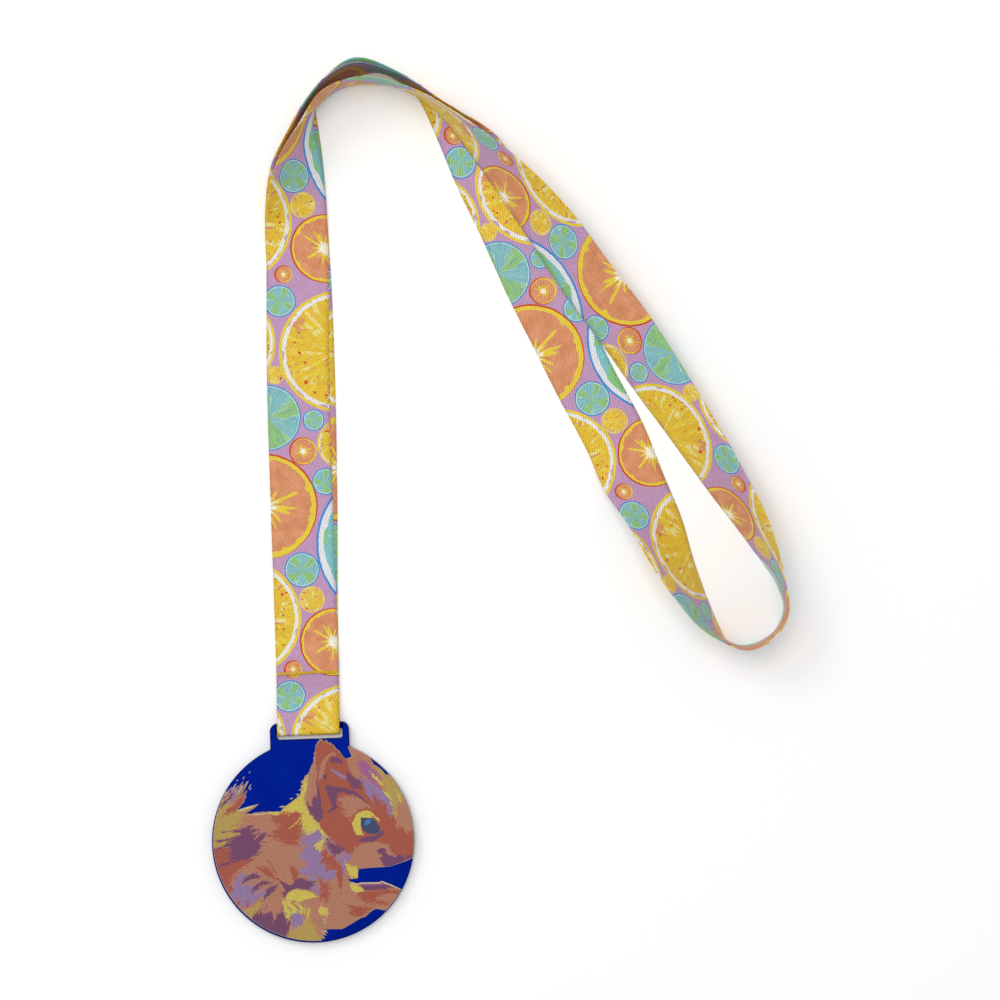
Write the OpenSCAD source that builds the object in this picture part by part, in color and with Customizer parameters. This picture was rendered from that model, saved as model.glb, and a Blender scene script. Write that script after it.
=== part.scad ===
// Award medal on a printed neck ribbon, lying face up as it is laid out on a table.
// The origin is the centre of the disc's back face. +X runs along the ribbon slot, +Y from
// the disc towards the ribbon, and +Z out of the disc's front face. Lengths are millimetres.

/* [Disc] */
// Diameter of the disc
disc_d = 65; // [64:0.5:66]
// Thickness of the disc and its tab
disc_t = 3.2; // [3.2:0.1:3.6]
// Radius of the rounding round the disc's rim
rim_round = 0.5; // [0.2:0.1:1]
// Height of the raised motif above the disc's front face
motif_h = 0.4; // [0.2:0.1:0.8]
// Plain border between the motif and the disc's rim
motif_border = 0.6; // [0.5:0.1:1.5]

/* [Ribbon tab] */
// Width of the tab over its two ears
tab_w = 25.4; // [24.8:0.2:27]
// How far the tab stands above the top of the disc
tab_h = 5.7; // [5.6:0.1:6]
// Radius of the tab's two outer corners
tab_corner_r = 2.5; // [1.5:0.1:2.5]
// Radius of the blend between the tab and the disc
tab_blend_r = 1; // [0.6:0.1:1.5]
// Width of the slot
slot_w = 21.2; // [20.8:0.1:21.4]
// Height of the slot's lower edge above the top of the disc
slot_floor_h = 0.4; // [0.2:0.1:0.5]
// Radius of the slot's two lower corners
slot_corner_r = 1; // [0.6:0.1:1.2]
// Diameter of the round bar that the ribbon is folded over
bar_d = 2.2; // [2:0.1:2.2]

/* [Ribbon] */
// Width of the ribbon
ribbon_w = 20; // [19.6:0.1:20]
// Thickness of the ribbon
ribbon_t = 0.4; // [0.3:0.05:0.4]
// Number of solid facets between two stations of the ribbon's route
route_steps = 4; // [2:1:5]

/* [Seam] */
// Distance of the seam above the centre of the bar
seam_h = 17; // [15:0.5:18]
// Number of stitches across the ribbon
stitch_count = 13; // [9:1:15]
// Thickness of the thread
thread_d = 0.8; // [0.5:0.05:0.8]
// Height of the stitches' axis above the middle of the top layer
thread_lift = 0.3; // [0.2:0.05:0.4]
// Slant of each stitch to the line of the seam
stitch_slant = 10; // [0:1:15]

/* [Hidden] */

disc_r = disc_d / 2;
slot_floor = disc_r + slot_floor_h;
tab_top = disc_r + tab_h;
bar_y = tab_top - bar_d / 2;
bar_z = disc_t / 2;
overlap = 0.5;
round_fn = 96;

// The fold is a half circle in the slot, a little below the bar.
fold_r = bar_z - ribbon_t / 2;
fold_y = bar_y - 1.5;
layer_1 = ribbon_t / 2;
layer_2 = 0.7;
layer_3 = 1.2;

// The ribbon's route, as rulings across the strip. Each ruling is
// [x, y, z of its lower end, azimuth and slope towards its upper end, lag of the upper end].
// The first pass runs from the ribbon's own end behind the bar, round the fold, up the front
// of the leg, over the top bend and down to the end bend. Its right edge is the lower one.
fold_rulings = [for (a = [-90:30:90])
    [9.7, fold_y - fold_r * cos(a), bar_z + fold_r * sin(a), 180, 0, 0]];
first_pass = concat(
    [[10, 57, layer_2, 180, 0, 0], [9.9, 49, layer_2, 180, 0, 0],
     [9.8, 43, 0.25, 180, 0, 0], [9.7, 39, layer_1, 180, 0, 0]],
    fold_rulings,
    [[9.7, 38, bar_z + fold_r, 180, 0, 0], [9.8, 45, 1.7, 180, 0, 0],
     [9.9, 50, layer_3, 180, 0, 0], [10, 58, layer_3, 180, 0, 0],
     [10, 66, layer_2, 180, 0, 0], [10, 74, layer_2, 180, 0, 0],
     [10, 112, layer_2, 180, 0, 0], [10.3, 154, layer_2, 180, 0, 0],
     [11.3, 185, layer_2, 179, 0, 0], [11.4, 200, 0.7, 187, 8, 3],
     [11, 210, 0.8, 202, 18, 7], [10, 220, 1.4, 215, 29, 11],
     [8.2, 229, 2.7, 231, 34, 14], [9.3, 237, 2.4, 237, 37, 15],
     [13.5, 239.8, 1.2, 230, 49, 9], [19, 242, 0.7, 205, 66, 4],
     [26, 242.6, 0.6, 170, 88, -3], [33, 242, 0.7, -40, 84, -6],
     [42, 237.6, 1.6, -27, 80, -8], [50, 230.3, 3.4, -20, 67, -8],
     [57, 220.5, 3.1, -10, 55, -10], [74.4, 193.5, 2.2, 18, 41, -6],
     [88, 171.3, 1, 28, 33, -3], [98.5, 156.3, 0.9, 34, 32, -1],
     [107, 143.2, 0.3, 34, 34, 0], [119, 125.7, 0.2, 35, 43, 1],
     [130.7, 108.4, 0.2, 42, 52, 4], [144.4, 89, 0.2, 52, 68, 7],
     [152.2, 76.5, 0.2, 75, 82, 4], [153.8, 69, 0.2, 20, 90, 1],
     [150.3, 62.1, 0.2, -40, 90, 0], [145, 58.8, 0.2, -70, 89, 0],
     [140.5, 58, 0.2, -95, 88, -1], [135.3, 59.7, 0.2, 190, 86, -3],
     [133, 64, 0.2, 178, 72, -7], [129.9, 72, 0.2, 175, 60, -8],
     [125.7, 85, 0.2, 178, 46, -7], [121.7, 100.5, 0.2, 184, 28, -4],
     [116.8, 113.5, 0.2, 194, 12, -2]]);

// The second pass runs back under the first one, over the top bend outside it, and down
// the back of the leg to the seam. Its left edge is the lower one.
second_pass = [
    [92.5, 122, 0.2, 23, 0, 0], [84, 139.4, 0.2, 25, 0, 0],
    [76.4, 156, 0.2, 25, 0, 0], [69, 172, 0.2, 24, 0, 0],
    [60.2, 193.5, 0.2, 18, 5, 2], [52.6, 211, 0.2, 8, 11, 4],
    [47.8, 224, 0.2, -4, 16, 7], [42.5, 236.5, 0.2, -24, 22, 11],
    [36, 243, 0.2, -30, 42, 7], [29.5, 246.3, 0.2, -20, 64, 1],
    [22, 245, 0.2, 80, 79, -3], [15, 243, 0.2, 193, 83, -5],
    [10.6, 240, 0.2, 229, 67, -8], [8.9, 236, 0.2, 229, 53, -9],
    [9.4, 230, 0.2, 220, 36, -10], [10.3, 221.6, 0.2, 207, 30, -8],
    [11, 211, 0.2, 197, 17, -5], [11.3, 201, 0.2, 188, 8, -3],
    [11.8, 186, layer_1, 180, 0, 0], [12.1, 154, layer_1, 180, 0, 0],
    [11.5, 112, layer_1, 180, 0, 0], [10.4, 74, layer_1, 180, 0, 0],
    [10.2, 62, layer_1, 180, 0, 0], [10, 50, layer_1, 180, 0, 0]];

function low_end(r) = [r[0], r[1], r[2]];
function high_end(r) = low_end(r) + norm([ribbon_w, r[5]])
    * [cos(r[4]) * cos(r[3]), cos(r[4]) * sin(r[3]), sin(r[4])];

right_edge = concat([for (r = first_pass) low_end(r)], [for (r = second_pass) high_end(r)]);
left_edge = concat([for (r = first_pass) high_end(r)], [for (r = second_pass) low_end(r)]);
stations = len(right_edge);

// Distance of each station along the ribbon's centre line.
centre = (right_edge + left_edge) / 2;
function distances(i = 1, done = [0]) = i == stations ? done
    : distances(i + 1, concat(done, [done[i - 1] + norm(centre[i] - centre[i - 1])]));
along = distances();

// Slope of an edge at station i. Heights stay between their neighbours.
function rise(p, i) = (p[i + 1] - p[i]) / (along[i + 1] - along[i]);
function slope(p, i) =
    i == 0 ? rise(p, 0)
    : i == stations - 1 ? rise(p, i - 1)
    : let (before = rise(p, i - 1), after = rise(p, i),
           h0 = along[i] - along[i - 1], h1 = along[i + 1] - along[i],
           both = (before * h1 + after * h0) / (h0 + h1),
           level = before[2] * after[2] <= 0)
      [both[0], both[1], level ? 0 : 2 * before[2] * after[2] / (before[2] + after[2])];

// A point between stations i and i + 1, on the smooth curve through all of them.
function between(p, i, u) = let (h = along[i + 1] - along[i])
    (2 * u^3 - 3 * u^2 + 1) * p[i] + (u^3 - 2 * u^2 + u) * h * slope(p, i)
    + (3 * u^2 - 2 * u^3) * p[i + 1] + (u^3 - u^2) * h * slope(p, i + 1);
function smooth(p) = concat(
    [for (i = [0:stations - 2]) for (k = [0:route_steps - 1]) between(p, i, k / route_steps)],
    [p[stations - 1]]);

right_line = smooth(right_edge);
left_line = smooth(left_edge);
rings = len(right_line);

function unit(v) = v / norm(v);
// Square to the cloth at ring i, out of its printed front.
function cloth_normal(i) = let (a = max(i - 1, 0), b = min(i + 1, rings - 1),
    forward = right_line[b] + left_line[b] - right_line[a] - left_line[a])
    unit(cross(right_line[i] - left_line[i], forward));

// The motif's outline on the disc: tail tufts, back, neck, ear, chin, arm and belly.
motif_outline = [
    [-32, 18], [-27, 18], [-24.5, 18.8], [-21, 16], [-24.5, 10.4], [-17.5, 11.6], [-21, 9.2],
    [-10, 9.6], [-6, 13.2], [-3.6, 16], [-2.4, 20.4], [0.4, 23], [1.4, 28], [2.6, 31.6],
    [5, 32], [8, 29.6], [11, 26.2], [12.8, 26.4], [12, 30.4], [13, 40], [24, 30], [18.9, 26],
    [20.2, 23.2], [24.6, 19.8], [27.4, 17.4], [34, 12], [34, -6], [27, -8.2], [22, -9],
    [12.8, -9.8], [13.8, -12.4], [10.6, -13], [11.4, -14.4], [21.4, -14], [28.5, -17.2],
    [30, -24], [23, -24], [19.4, -22.4], [15.6, -24.8], [8, -28.6], [2.6, -28.4],
    [2.6, -36], [-40, -30], [-40, 10]];

// Concave blend where the tab's side meets the disc, on the side given by the sign.
module tab_blend(side) {
    corner_x = tab_w / 2;
    far = disc_r + tab_blend_r;
    blend_y = sqrt(far^2 - (corner_x + tab_blend_r)^2);
    touch = [corner_x + tab_blend_r, blend_y] * disc_r / far;
    mirror([side < 0 ? 1 : 0, 0]) difference() {
        polygon([[corner_x - overlap, blend_y], [corner_x + tab_blend_r, blend_y], touch,
                 [corner_x - overlap, blend_y - 2 * tab_blend_r]]);
        translate([corner_x + tab_blend_r, blend_y]) circle(tab_blend_r, $fn = round_fn);
    }
}

module tab_outline() {
    half = tab_w / 2 - tab_corner_r;
    translate([-tab_w / 2, 0]) square([tab_w, tab_top - tab_corner_r]);
    translate([-half, 0]) square([2 * half, tab_top]);
    for (x = [-half, half])
        translate([x, tab_top - tab_corner_r]) circle(tab_corner_r, $fn = round_fn);
    for (side = [-1, 1]) tab_blend(side);
}

// The slot with round lower corners, left open at the top, where the bar closes it.
module slot_outline() {
    half = slot_w / 2 - slot_corner_r;
    translate([-slot_w / 2, slot_floor + slot_corner_r]) square([slot_w, tab_h * 2]);
    translate([-half, slot_floor]) square([2 * half, tab_h * 2]);
    for (x = [-half, half])
        translate([x, slot_floor + slot_corner_r]) circle(slot_corner_r, $fn = round_fn);
}

// Half of the disc's section, with its rim rounded at the front and the back.
module disc_section() {
    translate([0, 0]) square([disc_r - rim_round, disc_t]);
    translate([0, rim_round]) square([disc_r, disc_t - 2 * rim_round]);
    for (z = [rim_round, disc_t - rim_round])
        translate([disc_r - rim_round, z]) circle(rim_round, $fn = 32);
}

module medal_body() {
    color("mediumblue") {
        difference() {
            union() {
                rotate_extrude($fn = round_fn) disc_section();
                linear_extrude(disc_t) tab_outline();
            }
            translate([0, 0, -overlap]) linear_extrude(disc_t + 2 * overlap) slot_outline();
        }
        translate([-slot_w / 2 - overlap, bar_y, bar_z]) rotate([0, 90, 0])
            cylinder(d = bar_d, h = slot_w + 2 * overlap, $fn = round_fn);
    }
}

module squirrel_motif() {
    color("sienna") translate([0, 0, disc_t]) linear_extrude(motif_h) intersection() {
        polygon(motif_outline);
        circle(disc_r - motif_border, $fn = round_fn);
    }
}

module ribbon() {
    corners = [for (i = [0:rings - 1]) let (n = cloth_normal(i) * ribbon_t / 2)
        each [right_line[i] + n, left_line[i] + n, left_line[i] - n, right_line[i] - n]];
    // Front and back are split along the same diagonals, so that a twisted stretch keeps its thickness.
    sides = [for (i = [0:rings - 2]) for (k = [0:3])
        let (a = 4 * i + k, b = 4 * i + (k + 1) % 4)
        each k == 2 ? [[a, b, a + 4], [b, b + 4, a + 4]] : [[a, b, b + 4], [a, b + 4, a + 4]]];
    last = 4 * (rings - 1);
    color("plum") polyhedron(corners,
        concat([[3, 2, 1, 0]], sides, [[last, last + 1, last + 2, last + 3]]));
}

// Each stitch is a short slanted bar of thread that shows on the front of the top layer.
module seam_thread() {
    pitch = (ribbon_w - thread_d) / stitch_count;
    stitch_l = pitch * 0.9;
    color("gold") for (k = [0:stitch_count - 1])
        translate([(k - (stitch_count - 1) / 2) * pitch - 0.1, bar_y + seam_h, layer_3 + thread_lift])
            rotate([0, 90, stitch_slant]) cylinder(d = thread_d, h = stitch_l, center = true, $fn = 24);
}

medal_body();
squirrel_motif();
ribbon();
seam_thread();
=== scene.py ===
"""Looks of the medal and its printed ribbon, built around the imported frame. Lengths are metres."""

import math
import random

import bmesh
import bpy
import numpy as np
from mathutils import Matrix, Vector
from mathutils.geometry import delaunay_2d_cdt


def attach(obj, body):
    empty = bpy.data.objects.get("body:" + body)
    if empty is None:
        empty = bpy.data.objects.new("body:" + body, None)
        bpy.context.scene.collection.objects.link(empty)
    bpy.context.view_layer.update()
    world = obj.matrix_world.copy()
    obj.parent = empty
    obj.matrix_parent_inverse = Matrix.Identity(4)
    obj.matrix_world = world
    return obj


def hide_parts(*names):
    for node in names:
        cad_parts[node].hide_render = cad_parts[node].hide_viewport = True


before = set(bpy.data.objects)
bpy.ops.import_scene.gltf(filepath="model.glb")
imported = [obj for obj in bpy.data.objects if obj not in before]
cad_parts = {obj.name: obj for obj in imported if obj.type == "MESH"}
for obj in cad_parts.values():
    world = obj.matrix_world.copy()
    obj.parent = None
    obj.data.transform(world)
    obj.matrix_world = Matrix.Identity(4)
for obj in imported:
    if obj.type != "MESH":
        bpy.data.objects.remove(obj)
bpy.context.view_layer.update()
MM = 0.001

# ---------------------------------------------------------------- stage, camera and light


def srgb(r, g, b):
    """A colour in 0-255 display values as linear RGBA."""
    def lin(v):
        v /= 255
        return v / 12.92 if v <= 0.04045 else ((v + 0.055) / 1.055) ** 2.4
    return (lin(r), lin(g), lin(b), 1.0)


def link(obj):
    bpy.context.scene.collection.objects.link(obj)
    return obj


def mesh_object(name, verts, faces):
    me = bpy.data.meshes.new(name)
    me.from_pydata([tuple(v) for v in verts], [], faces)
    me.validate()
    me.polygons.foreach_set("use_smooth", [True] * len(me.polygons))
    return link(bpy.data.objects.new(name, me))


CAMERA_HEIGHT, VIEW_WIDTH = 1.06, 0.322
cam = link(bpy.data.objects.new("camera", bpy.data.cameras.new("camera")))
cam.location = (0.0638, 0.1075, CAMERA_HEIGHT)
cam.rotation_euler = (0, 0, math.radians(-2))
cam.data.sensor_width = 36
cam.data.lens = 36 * CAMERA_HEIGHT / VIEW_WIDTH
cam.data.clip_start = 0.01
bpy.context.scene.camera = cam
bpy.context.scene.view_settings.view_transform = "Standard"

world = bpy.data.worlds.new("studio")
bpy.context.scene.world = world
world.use_nodes = True
world.node_tree.nodes["Background"].inputs[0].default_value = (1, 1, 1, 1)
world.node_tree.nodes["Background"].inputs[1].default_value = 0.55


def area_light(name, place, aim, size, watts):
    lamp = link(bpy.data.objects.new(name, bpy.data.lights.new(name, "AREA")))
    lamp.data.size = size
    lamp.data.energy = watts
    lamp.location = place
    lamp.rotation_euler = (Vector(aim) - Vector(place)).to_track_quat("-Z", "Y").to_euler()


area_light("overhead", (-0.05, 0.3, 1.5), (0.06, 0.1, 0), 0.9, 9.6)
area_light("key", (-0.6, 0.75, 0.95), (0.06, 0.1, 0), 0.5, 3.2)

FLOOR_HALF, FLOOR_Z = 3, -5e-5
floor_corners = [(x * FLOOR_HALF, y * FLOOR_HALF, FLOOR_Z) for x, y in ((-1, -1), (1, -1), (1, 1), (-1, 1))]
floor = mesh_object("floor", floor_corners, [(0, 1, 2, 3)])

# ---------------------------------------------------------------- node helpers


class Graph:
    """Short ways to add shader nodes. A value is a socket, a number, a vector or a colour."""

    def __init__(self, tree):
        self.tree = tree

    def node(self, kind, **settings):
        n = self.tree.nodes.new(kind)
        for k, v in settings.items():
            setattr(n, k, v)
        return n

    def put(self, socket, value):
        if isinstance(value, bpy.types.NodeSocket):
            self.tree.links.new(value, socket)
        elif value is not None:
            socket.default_value = value

    def math(self, op, *values):
        n = self.node("ShaderNodeMath", operation=op)
        for s, v in zip(n.inputs, values):
            self.put(s, v)
        return n.outputs[0]

    def ramp(self, x, low, high):
        """0 below low, 1 above high, smooth between. It falls when low is above high."""
        n = self.node("ShaderNodeMapRange", interpolation_type="SMOOTHSTEP")
        flip = low > high
        for s, v in zip(n.inputs, (x, min(low, high), max(low, high), float(flip), float(not flip))):
            self.put(s, v)
        return n.outputs[0]

    def mix(self, fac, a, b):
        n = self.node("ShaderNodeMix", data_type="RGBA")
        self.put(n.inputs[0], fac)
        self.put(n.inputs[6], a)
        self.put(n.inputs[7], b)
        return n.outputs[2]

    def xyz(self, x, y, z=0.0):
        n = self.node("ShaderNodeCombineXYZ")
        for s, v in zip(n.inputs, (x, y, z)):
            self.put(s, v)
        return n.outputs[0]

    def split(self, vector):
        n = self.node("ShaderNodeSeparateXYZ")
        self.put(n.inputs[0], vector)
        return n.outputs

    def noise(self, vector, scale, detail=2.0, rough=0.5):
        n = self.node("ShaderNodeTexNoise")
        self.put(n.inputs["Vector"], vector)
        n.inputs["Scale"].default_value = scale
        n.inputs["Detail"].default_value = detail
        n.inputs["Roughness"].default_value = rough
        return n.outputs["Fac"]

    def bump(self, height, strength, distance):
        n = self.node("ShaderNodeBump")
        n.inputs["Strength"].default_value = strength
        n.inputs["Distance"].default_value = distance
        self.put(n.inputs["Height"], height)
        return n.outputs[0]


def material(name, **values):
    """A new material: its graph and its principled shader, with uniform values set on the sockets."""
    mat = bpy.data.materials.new(name)
    mat.use_nodes = True
    shader = mat.node_tree.nodes["Principled BSDF"]
    for k, v in values.items():
        shader.inputs[k.replace("_", " ")].default_value = v
    return mat, Graph(mat.node_tree), shader


floor_paint, *_ = material("floor_paint", Base_Color=srgb(254, 254, 254), Roughness=0.9)
floor.data.materials.append(floor_paint)

# ---------------------------------------------------------------- the ribbon's route, as in the CAD

# Each ruling is x, y and z of the strip's low end, azimuth and tilt to its other end, and lag, in
# millimetres and degrees. The first pass goes round the fold, up the front leg and round the end loop.
WIDTH = 20.0
FOLD_Y, FOLD_R, BAR_Z = 35.6, 1.4, 1.6
FIRST = [
    [10, 57, 0.7, 180, 0, 0], [9.9, 49, 0.7, 180, 0, 0], [9.8, 43, 0.25, 180, 0, 0], [9.7, 39, 0.2, 180, 0, 0],
]
for degrees in range(-90, 91, 30):
    a = math.radians(degrees)
    FIRST.append([9.7, FOLD_Y - FOLD_R * math.cos(a), BAR_Z + FOLD_R * math.sin(a), 180, 0, 0])
FIRST += [
    [9.7, 38, 3.0, 180, 0, 0], [9.8, 45, 1.7, 180, 0, 0], [9.9, 50, 1.2, 180, 0, 0], [10, 58, 1.2, 180, 0, 0],
    [10, 66, 0.7, 180, 0, 0], [10, 74, 0.7, 180, 0, 0], [10, 112, 0.7, 180, 0, 0],
    [10.3, 154, 0.7, 180, 0, 0], [11.3, 185, 0.7, 179, 0, 0], [11.4, 200, 0.7, 187, 8, 3],
    [11, 210, 0.8, 202, 18, 7], [10, 220, 1.4, 215, 29, 11], [8.2, 229, 2.7, 231, 34, 14],
    [9.3, 237, 2.4, 237, 37, 15], [13.5, 239.8, 1.2, 230, 49, 9],
    [19, 242, 0.7, 205, 66, 4], [26, 242.6, 0.6, 170, 88, -3], [33, 242, 0.7, -40, 84, -6],
    [42, 237.6, 1.6, -27, 80, -8], [50, 230.3, 3.4, -20, 67, -8], [57, 220.5, 3.1, -10, 55, -10],
    [74.4, 193.5, 2.2, 18, 41, -6], [88, 171.3, 1, 28, 33, -3], [98.5, 156.3, 0.9, 34, 32, -1],
    [107, 143.2, 0.3, 34, 34, 0], [119, 125.7, 0.2, 35, 43, 1], [130.7, 108.4, 0.2, 42, 52, 4],
    [144.4, 89, 0.2, 52, 68, 7], [152.2, 76.5, 0.2, 75, 82, 4], [153.8, 69, 0.2, 20, 90, 1],
    [150.3, 62.1, 0.2, -40, 90, 0], [145, 58.8, 0.2, -70, 89, 0], [140.5, 58, 0.2, -95, 88, -1],
    [135.3, 59.7, 0.2, 190, 86, -3], [133, 64, 0.2, 178, 72, -7], [129.9, 72, 0.2, 175, 60, -8],
    [125.7, 85, 0.2, 178, 46, -7], [121.7, 100.5, 0.2, 184, 28, -4], [116.8, 113.5, 0.2, 194, 12, -2],
]
# The second pass runs back under the first, over the top bend and down behind the front leg.
SECOND = [
    [92.5, 122, 0.2, 23, 0, 0], [84, 139.4, 0.2, 25, 0, 0], [76.4, 156, 0.2, 25, 0, 0],
    [69, 172, 0.2, 24, 0, 0],
    [60.2, 193.5, 0.2, 18, 5, 2], [52.6, 211, 0.2, 8, 11, 4], [47.8, 224, 0.2, -4, 16, 7],
    [42.5, 236.5, 0.2, -24, 22, 11], [36, 243, 0.2, -30, 42, 7], [29.5, 246.3, 0.2, -20, 64, 1],
    [22, 245, 0.2, 80, 79, -3], [15, 243, 0.2, 193, 83, -5], [10.6, 240, 0.2, 229, 67, -8],
    [8.9, 236, 0.2, 229, 53, -9], [9.4, 230, 0.2, 220, 36, -10], [10.3, 221.6, 0.2, 207, 30, -8],
    [11, 211, 0.2, 197, 17, -5], [11.3, 201, 0.2, 188, 8, -3], [11.8, 186, 0.2, 180, 0, 0],
    [12.1, 154, 0.2, 180, 0, 0], [11.5, 112, 0.2, 180, 0, 0], [10.4, 74, 0.2, 180, 0, 0],
    [10.2, 62, 0.2, 180, 0, 0], [10, 50, 0.2, 180, 0, 0],
]


def low_end(r):
    return Vector(r[:3])


def high_end(r):
    a, t, span = math.radians(r[3]), math.radians(r[4]), math.hypot(WIDTH, r[5])
    return low_end(r) + span * Vector((math.cos(t) * math.cos(a), math.cos(t) * math.sin(a), math.sin(t)))


right_edge = [low_end(r) for r in FIRST] + [high_end(r) for r in SECOND]
left_edge = [high_end(r) for r in FIRST] + [low_end(r) for r in SECOND]
lags = [r[5] for r in FIRST] + [-r[5] for r in SECOND]
along = [0.0]
for i in range(1, len(right_edge)):
    step = (right_edge[i] + left_edge[i] - right_edge[i - 1] - left_edge[i - 1]) / 2
    along.append(along[-1] + step.length)
LAST = len(along) - 1


def slope(p, i):
    """How the edge p moves for each millimetre along, at station i, with no overshoot in height."""
    def rise(k):
        return (p[k + 1] - p[k]) / (along[k + 1] - along[k])

    if i == 0 or i == LAST:
        return rise(0 if i == 0 else LAST - 1)
    before, after = rise(i - 1), rise(i)
    h0, h1 = along[i] - along[i - 1], along[i + 1] - along[i]
    both = (before * h1 + after * h0) / (h0 + h1)
    level = before.z * after.z <= 0
    both.z = 0 if level else 2 * before.z * after.z / (before.z + after.z)
    return both


def between(p, i, u):
    """The point of edge p at the share u of the way from station i to the next."""
    h = along[i + 1] - along[i]
    return ((2 * u**3 - 3 * u * u + 1) * p[i] + (u**3 - 2 * u * u + u) * h * slope(p, i)
            + (3 * u * u - 2 * u**3) * p[i + 1] + (u**3 - u * u) * h * slope(p, i + 1))


# Rings across the ribbon: right point, left point, distance along, lag.
RING_STEP = 1.2
rings = []
for i in range(LAST):
    count = max(2, round((along[i + 1] - along[i]) / RING_STEP))
    for k in range(count):
        u = k / count
        rings.append((between(right_edge, i, u), between(left_edge, i, u),
                      along[i] + u * (along[i + 1] - along[i]), lags[i] * (1 - u) + lags[i + 1] * u))
rings.append((right_edge[LAST], left_edge[LAST], along[LAST], lags[LAST]))

# The print is placed by its distance from the front leg's ruling at y = 112.
PRINT_SHIFT = 112 - along[FIRST.index([10, 112, 0.7, 180, 0, 0])]
SEAM_Y, SEAM_PULL, SEAM_REACH = 54.1, 0.09, 0.7
COLUMNS = 12
THICK = 0.36
# How thick the woven edges are, as a share of the cloth.
EDGE_SHARE = 0.55
# Distances along the route between which the seam's top layer lies.
TOP_LAYER = (25, 300)


def ribbon_mesh():
    verts, strip, faces = [], [], []
    for i, (right, left, v, lag) in enumerate(rings):
        a, b = rings[max(i - 1, 0)], rings[min(i + 1, len(rings) - 1)]
        forward = b[0] + b[1] - a[0] - a[1]
        normal = (right - left).cross(forward).normalized()
        on_top = TOP_LAYER[0] < v < TOP_LAYER[1]
        for side in (1, -1):
            for k in range(COLUMNS + 1):
                w = k / COLUMNS
                if side < 0:
                    w = 1 - w
                p = left.lerp(right, w)
                # the woven edges are thinner than the cloth, and the seam draws the top layer in
                thick = THICK / 2 * (EDGE_SHARE if k in (0, COLUMNS) else 1.0)
                p = p + normal * side * thick
                if on_top:
                    p.z -= SEAM_PULL * math.exp(-(((p.y - SEAM_Y) / SEAM_REACH) ** 2))
                verts.append(p * MM)
                strip.append((w * WIDTH - WIDTH / 2, v + PRINT_SHIFT + lag * (w - 0.5), 0))
    n = 2 * (COLUMNS + 1)
    for i in range(len(rings) - 1):
        for k in range(n):
            a, b = i * n + k, i * n + (k + 1) % n
            faces.append((a, a + n, b + n, b))
    faces.append(tuple(range(n)))
    faces.append(tuple(reversed(range((len(rings) - 1) * n, len(rings) * n))))
    obj = mesh_object("ribbon_cloth", verts, faces)
    attribute = obj.data.attributes.new("strip", "FLOAT_VECTOR", "POINT")
    attribute.data.foreach_set("vector", [c for s in strip for c in s])
    return obj


ribbon = ribbon_mesh()

# ---------------------------------------------------------------- the ribbon's citrus print

PERIOD = 127.0
MAUVE = srgb(187, 145, 181)
YELLOW, GOLD, PALE = srgb(225, 198, 52), srgb(222, 184, 40), srgb(228, 216, 136)
SALMON, RED, FIRE = srgb(210, 146, 92), srgb(196, 68, 36), srgb(196, 68, 26)
CREAM, STAR = srgb(226, 225, 221), srgb(240, 234, 214)
BLUE, DEEP, ICE = srgb(56, 138, 198), srgb(54, 136, 206), srgb(204, 224, 228)
GREEN, TEAL, SEA = srgb(141, 188, 118), srgb(128, 183, 188), srgb(122, 188, 190)


def slice_group(name, paint):
    """A node group that paints one round slice over what is under it."""
    tree = bpy.data.node_groups.new(name, "ShaderNodeTree")
    inputs = {"Under": "Color", "Strip": "Vector", "Centre": "Vector", "Radius": "Float", "Turn": "Float"}
    for label, kind in inputs.items():
        tree.interface.new_socket(label, in_out="INPUT", socket_type="NodeSocket" + kind)
    tree.interface.new_socket("Color", in_out="OUTPUT", socket_type="NodeSocketColor")
    g = Graph(tree)
    under, strip, centre, radius, turn = g.node("NodeGroupInput").outputs[:5]
    off = g.node("ShaderNodeVectorMath", operation="SUBTRACT")
    g.put(off.inputs[0], strip)
    g.put(off.inputs[1], centre)
    x, y, _ = g.split(off.outputs[0])
    y = g.math("WRAP", y, PERIOD / 2, -PERIOD / 2)
    wobble = g.math("MULTIPLY_ADD", g.noise(strip, 0.5, 3), 0.5, -0.25)
    dist = g.math("SQRT", g.math("ADD", g.math("MULTIPLY", x, x), g.math("MULTIPLY", y, y)))
    dist = g.math("ADD", wobble, dist)
    rim = g.math("SUBTRACT", radius, dist)
    part = g.math("DIVIDE", dist, radius)
    angle = g.math("ADD", g.math("ARCTAN2", y, x), turn)
    ca, sa = g.math("COSINE", angle), g.math("SINE", angle)
    out = g.node("NodeGroupOutput")
    colour = paint(g, strip, radius, rim, part, angle, ca, sa)
    g.put(out.inputs[0], g.mix(g.ramp(rim, -0.03, 0.05), under, colour))
    return tree


def spokes(g, ca, sa, part, fine, slow, seed):
    """Noise that is drawn out along the radius."""
    across, up = g.math("MULTIPLY", ca, fine), g.math("MULTIPLY", sa, fine)
    return g.noise(g.xyz(across, up, g.math("MULTIPLY_ADD", part, slow, seed)), 1.0, 2.5, 0.55)


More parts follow.
